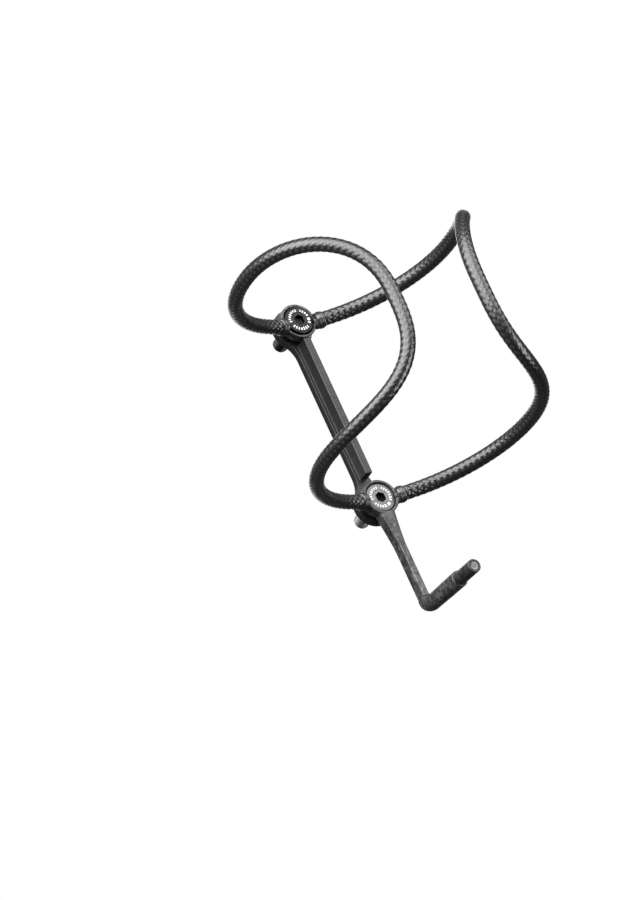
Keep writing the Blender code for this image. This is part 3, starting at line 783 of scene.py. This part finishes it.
def binding_finish():
    """Thread drowned in resin: dark, uneven and wet-looking."""
    made, tree, shader, where = new_finish("binding_resin", coat=1.0, coat_roughness=0.07)
    grain = use_group(tree, skin_grain, Where=where, Size=0.35 * MM)["Grain"]
    colour = mixed(tree, grain, (0.006, 0.006, 0.006), (0.06, 0.06, 0.062))
    roughness = sums(tree, "MULTIPLY_ADD", grain, 0.3, 0.15)
    dress(tree, shader, colour, roughness, grain, 0.5, 0.1 * MM)
    return made


binding_resin = binding_finish()
for level in LEVELS:
    for name, side in (("left", -1), ("right", 1)):
        collar = put(f"{level}_{name}_binding", wound_collar(level, side))
        fit(collar, "spine", binding_resin, f"{level}_{name}_collar")

# -------------------------------------------------------- washers and bolts
# An M5 bolt goes through each hub over a thin plated washer. The heads are flat discs with
# a hex socket and a ring of plain white scale marks, on black anodising above and on grey
# metal below.

SHANK_RADIUS = 2.4 * MM
THREAD_STEP = 0.8 * MM
THREAD_DEPTH = 0.42 * MM
HALF_FLATS = 1.5 * MM
SOCKET_DEPTH = 1.5 * MM
MARK_RADII = (3.0 * MM, 3.7 * MM)
DOT_PLACE = 3.2 * MM
DOT_RADIUS = 0.52 * MM


def washer_finish():
    """Bright plate with turning marks."""
    made, tree, shader, where = new_finish("washer_steel", metallic=1.0)
    grain = use_group(tree, skin_grain, Where=where, Size=0.3 * MM)["Grain"]
    colour = mixed(tree, grain, (0.42, 0.42, 0.43), (0.62, 0.62, 0.63))
    dress(tree, shader, colour, sums(tree, "MULTIPLY_ADD", grain, 0.3, 0.2))
    return made


washer_steel = washer_finish()
for level, height in LEVELS.items():
    low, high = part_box(f"{level}_washer")
    corners = [(HOLE_RADIUS, -high.y), (high.x, -high.y), (high.x, -low.y), (HOLE_RADIUS, -low.y)]
    profile = eased(corners, 0.1 * MM, closed=True)
    mesh = turned("washer", profile, (0, 0, height), (0, -1, 0), ring=True)
    washer = put(f"{level}_plated_washer", mesh)
    fit(washer, f"{level}_washer", washer_steel, f"{level}_washer")


def bolt_mesh(level, steps=96):
    """Socket, head and threaded shank in one surface about the bolt's axis.

    Every row has a height and a radius. In the socket the radius is that of a hexagon,
    half the flats' distance over the cos of the angle from the nearest flat's middle. On
    the shank it is a cosine thread: the shank's radius less a wave of the height over
    the pitch plus the turn, faded at both ends, and less the tip's chamfer.
    """
    low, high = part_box(f"{level}_bolt")
    top, tip, head_radius = -low.y, -high.y, high.x
    head_bottom = -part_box(f"{level}_washer")[0].y + TUBE_GAP
    turn = np.linspace(0, 2 * np.pi, steps, endpoint=False)
    flat_turn = (turn + np.pi / 6) % (np.pi / 3) - np.pi / 6
    hexagon = HALF_FLATS / np.cos(flat_turn)
    floor = top - SOCKET_DEPTH
    socket = [(0.0, floor - 0.25 * MM), (0.55, floor), (0.97, floor), (1.0, floor + 0.05 * MM)]
    socket += [(1.0, top - 0.12 * MM), (1.02, top - 0.05 * MM), (1.08, top)]
    rows = [(share * hexagon, height) for share, height in socket]
    groove = top - 0.07 * MM
    head = [
        (2.1 * MM, top),
        (2.42 * MM, top),
        (2.5 * MM, groove),
        (2.62 * MM, groove),
        (2.7 * MM, top),
        (MARK_RADII[1] + 0.02 * MM, top),
        (head_radius, top - 0.14 * MM),
        (head_radius, head_bottom),
        (SHANK_RADIUS, head_bottom),
    ]
    rows += eased(head, 0.18 * MM, steps=5).tolist()
    shank = np.linspace(head_bottom - 0.3 * MM, tip, 170)
    from_ends = np.minimum(head_bottom - 1.2 * MM - shank, shank - tip)
    fade = np.clip(from_ends / THREAD_STEP, 0, 1)[:, None]
    wave = 0.5 - 0.5 * np.cos(2 * np.pi * shank[:, None] / THREAD_STEP + turn)
    chamfer = 0.5 * MM * np.clip(1 - (shank - tip) / (0.6 * MM), 0, 1)[:, None]
    rows += list(zip(SHANK_RADIUS - THREAD_DEPTH * fade * wave**1.3 - chamfer, shank))
    rows.append((0.0, tip))
    radius = np.stack([np.broadcast_to(each, steps) for each, _ in rows])
    height = np.array([each for _, each in rows])[:, None]
    out = np.broadcast_to(-height, radius.shape)
    up = radius * np.sin(turn) + LEVELS[level]
    return skin("bolt", np.stack([radius * np.cos(turn), out, up], -1))


def make_scale_group():
    """A ring of scale marks about a bolt's axis, and one dot: 1 on a mark, 0 off it.

    The angle is cut into equal steps. A mark fills part of its step between two radii,
    every third is longer, those below the axis are longer again, and gaps part them into
    three groups. The dot is a disc that clears the marks round it. Apart is the distance
    from the axis.
    """
    inputs = {"Where": None, "Level": 0.0, "Steps": 24.0, "Face": 0.007, "Dot": 0.5}
    tree, given, result = new_group("scale_marks", inputs, ["Marks", "Apart"])
    full_turn, mark_share, group_share = 2 * math.pi, 0.52, 0.85
    axes = wire(tree, "ShaderNodeSeparateXYZ", {0: given["Where"]})
    x, z = axes["X"], sums(tree, "SUBTRACT", axes["Z"], given["Level"])
    radius = distance(tree, x, z)
    turn = sums(tree, "DIVIDE", sums(tree, "ARCTAN2", z, x), full_turn)
    step = product(tree, turn, given["Steps"])
    third = sums(tree, "FLOORED_MODULO", sums(tree, "FLOOR", step), 3.0)
    group = sums(tree, "FRACT", sums(tree, "MULTIPLY_ADD", turn, 3.0, 0.3))
    inner = sums(tree, "LESS_THAN", third, 0.5)
    inner = sums(tree, "MULTIPLY_ADD", inner, -0.15 * MM, MARK_RADII[0])
    inner = sums(tree, "MULTIPLY_ADD", sums(tree, "LESS_THAN", z, 0.0), -0.2 * MM, inner)
    dot_turn = product(tree, given["Dot"], full_turn)
    off_x, off_z = (
        sums(tree, "SUBTRACT", place, product(tree, sums(tree, wave, dot_turn), DOT_PLACE))
        for place, wave in ((x, "COSINE"), (z, "SINE"))
    )
    from_dot = distance(tree, off_x, off_z)
    marks = product(
        tree,
        sums(tree, "LESS_THAN", sums(tree, "FRACT", step), mark_share),
        sums(tree, "GREATER_THAN", radius, inner),
        sums(tree, "LESS_THAN", radius, MARK_RADII[1]),
        sums(tree, "GREATER_THAN", from_dot, DOT_RADIUS + 0.43 * MM),
        sums(tree, "LESS_THAN", group, group_share),
    )
    marks = sums(tree, "MAXIMUM", marks, sums(tree, "LESS_THAN", from_dot, DOT_RADIUS))
    front = sums(tree, "LESS_THAN", axes["Y"], product(tree, given["Face"], -1.0))
    tree.links.new(product(tree, marks, front), result["Marks"])
    tree.links.new(radius, result["Apart"])
    return tree


scale_marks = make_scale_group()


def head_finish(name, level, colours, mark_colour, dot, metallic, roughness):
    """Anodised or plain alloy with fine turning marks and the printed ring. Inside the socket, below
    the face, the colour is painted near black as painted shade in its depth."""
    top = -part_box(f"{level}_bolt")[0].y
    made, tree, shader, where = new_finish(name)
    grain = use_group(tree, skin_grain, Where=where, Size=0.22 * MM)["Grain"]
    face = {"Level": LEVELS[level], "Face": top - 0.12 * MM, "Dot": dot}
    scale = use_group(tree, scale_marks, Where=where, **face)
    axes = wire(tree, "ShaderNodeSeparateXYZ", {0: where})
    within = sums(tree, "LESS_THAN", scale["Apart"], 1.76 * MM)
    painted_shade_depth = sums(tree, "GREATER_THAN", axes["Y"], 0.03 * MM - top)
    metal = mixed(tree, grain, *colours)
    # Painted shade: inside the socket, below the face, the colour is near black.
    metal = mixed(tree, product(tree, within, painted_shade_depth), metal, (0.004, 0.004, 0.004))
    colour = mixed(tree, scale["Marks"], metal, mark_colour)
    shine = sums(tree, "MULTIPLY_ADD", scale["Marks"], -metallic, metallic)
    tree.links.new(shine, shader["Metallic"])
    roughness = sums(tree, "MULTIPLY_ADD", grain, 0.2, roughness - 0.1)
    dress(tree, shader, colour, roughness, grain, 0.15, 0.02 * MM)
    return made


BLACK = ((0.010, 0.010, 0.012), (0.022, 0.022, 0.026))
GREY = ((0.15, 0.15, 0.16), (0.27, 0.27, 0.285))
black_alloy = head_finish("black_alloy", "upper", BLACK, (0.85, 0.85, 0.87), 0.985, 0.6, 0.3)
silver_alloy = head_finish("silver_alloy", "lower", GREY, (0.95, 0.95, 0.95), 0.84, 0.75, 0.5)
heads = {"upper": ("black_alloy", black_alloy), "lower": ("silver_alloy", silver_alloy)}
for level, (slot, material) in heads.items():
    bolt = put(f"{level}_disc_bolt", bolt_mesh(level))
    fit(bolt, f"{level}_bolt", material, f"{level}_bolt")

# --------------------------------------------------------------- the studio
# A pale floor lies under the foot, and is clear from beneath so that the camera sees
# through it. Large soft lamps stand round the part, and a white surround fills the view.

FLOOR_HALF = 3.0


def floor_finish():
    """A plain pale floor that glows a little, so that it stays pale far from the lamps."""
    made, tree, shader, _ = new_finish("pale_floor")
    shader["Roughness"].default_value = 0.7
    shader["Base Color"].default_value = (0.22, 0.22, 0.22, 1.0)
    shader["Emission Color"].default_value = (0.8, 0.8, 0.81, 1.0)
    shader["Emission Strength"].default_value = 0.8
    below = wire(tree, "ShaderNodeNewGeometry")["Backfacing"]
    clear = wire(tree, "ShaderNodeBsdfTransparent")[0]
    pale = tree.nodes["Principled BSDF"].outputs[0]
    both = wire(tree, "ShaderNodeMixShader", {0: below, 1: pale, 2: clear})[0]
    tree.links.new(both, tree.nodes["Material Output"].inputs["Surface"])
    return made


corners = np.array([[-1, -1], [1, -1], [1, 1], [-1, 1]]) * FLOOR_HALF
floor_height = np.full(4, cad_box[0].z - 0.6 * MM)
floor_mesh = bpy.data.meshes.new("floor")
floor_mesh.from_pydata(np.column_stack([corners, floor_height]), [], [(0, 1, 2, 3)])
floor_mesh.materials.append(floor_finish())
floor = put("floor", floor_mesh)
floor.visible_diffuse = False
floor.visible_glossy = False

world = bpy.data.worlds.new("surround")
world.use_nodes = True
bpy.context.scene.world = world
backdrop = world.node_tree.nodes["Background"].inputs
backdrop["Color"].default_value = (1.0, 1.0, 1.0, 1.0)
seen = wire(world.node_tree, "ShaderNodeLightPath")["Is Camera Ray"]
strength = sums(world.node_tree, "MULTIPLY_ADD", seen, 0.92, 0.08)
world.node_tree.links.new(strength, backdrop["Strength"])
bpy.context.scene.view_settings.view_transform = "Standard"

# The camera stands off the bottle's side, below the cage and a little to the left, and is
# rolled. Its axes are its right, its up and the way back to it.
right = Vector((0.8326, -0.3914, -0.3914))
up = Vector((0.1597, -0.5074, 0.8463))
back = Vector((-0.5299, -0.7671, -0.3600))
CAMERA_DISTANCE = 2.5
LOOKED_AT = Vector((0, -4.72 * MM, 0))
camera = bpy.data.objects.new("camera", bpy.data.cameras.new("camera"))
aim = Matrix((right, up, back)).transposed().to_4x4()
camera.matrix_world = Matrix.Translation(back * CAMERA_DISTANCE + LOOKED_AT) @ aim
camera.data.lens = 325.7
camera.data.sensor_width = 36.0
camera.data.shift_x = -0.0257
camera.data.shift_y = -0.0419
camera.data.clip_start = 0.05
camera.data.clip_end = 60.0
bpy.context.scene.collection.objects.link(camera)
bpy.context.scene.camera = camera


def softbox(name, way, reach, size, power):
    """A large area lamp at a distance along a way from the part, and turned to face it."""
    lamp = bpy.data.lights.new(name, "AREA")
    lamp.shape = "RECTANGLE"
    lamp.size, lamp.size_y = size
    lamp.energy = power
    made = bpy.data.objects.new(name, lamp)
    place = Matrix.Translation(way.normalized() * reach)
    made.matrix_world = place @ way.to_track_quat("Z", "Y").to_matrix().to_4x4()
    bpy.context.scene.collection.objects.link(made)


softbox("key", back * 0.75 + up * 0.95 - right * 0.45, 0.9, (1.1, 1.1), 19.0)
softbox("fill", Vector((0.55, -0.77, 0.36)), 1.0124, (0.7, 0.7), 5.0)
softbox("left", back * 0.55 - right + up * 0.25, 0.9, (0.5, 0.8), 7.0)
softbox("right", back * 0.45 + right - up * 0.1, 0.9, (0.4, 0.8), 6.0)
softbox("rear", Vector((0.5, 0.9, 0.35)), 1.0874, (0.8, 0.8), 3.0)
